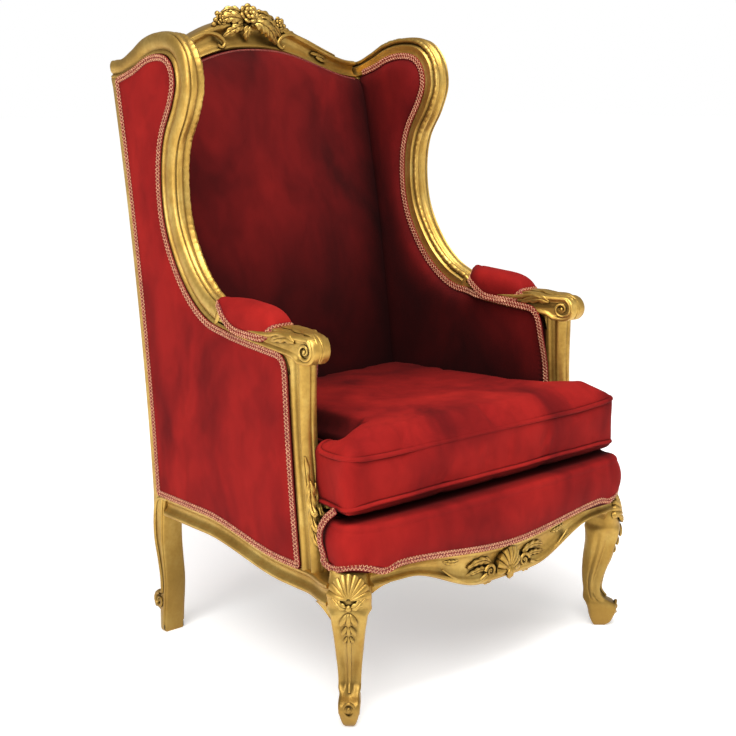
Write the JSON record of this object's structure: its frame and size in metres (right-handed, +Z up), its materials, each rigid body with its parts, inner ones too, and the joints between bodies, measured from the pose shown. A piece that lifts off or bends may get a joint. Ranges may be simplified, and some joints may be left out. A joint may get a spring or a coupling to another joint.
{
  "type": "wing armchair throne",
  "caption": "Carved and gilded wing armchair with cabriole legs, padded back, wings and arms, and a loose velvet seat cushion, used as a ceremonial throne.",
  "frame": {"origin": "on the floor, under the middle of the chair's width and depth", "axes": "+Z up; the sitter faces -Y; +X is the sitter's left"},
  "size_m": [0.7046, 0.7329, 1.1387],
  "materials": {
    "gilt_wood": "carved beech, gilded in bronze-gold leaf over red-brown ground, worn and toned dark in the hollows",
    "velvet": "short-pile crimson velvet, mottled where the nap is brushed",
    "gimp": "woven scroll gimp braid in rose and old gold"
  },
  "bodies": {
    "root": {"back_post_right": "gilt_wood", "wing_frame_right": "gilt_wood", "arm_rail_right": "gilt_wood", "arm_post_right": "gilt_wood", "side_rail_right": "gilt_wood", "front_leg_right": "gilt_wood", "outside_side_right": "velvet", "inside_side_right": "velvet", "arm_pad_right": "velvet", "back_post_left": "gilt_wood", "wing_frame_left": "gilt_wood", "arm_rail_left": "gilt_wood", "arm_post_left": "gilt_wood", "side_rail_left": "gilt_wood", "front_leg_left": "gilt_wood", "outside_side_left": "velvet", "inside_side_left": "velvet", "arm_pad_left": "velvet", "front_rail": "gilt_wood", "back_rail": "gilt_wood", "crest_rail": "gilt_wood", "inside_back": "velvet", "outside_back": "velvet", "seat_deck": "velvet", "seat_cushion": "velvet"}
  },
  "joints": []
}
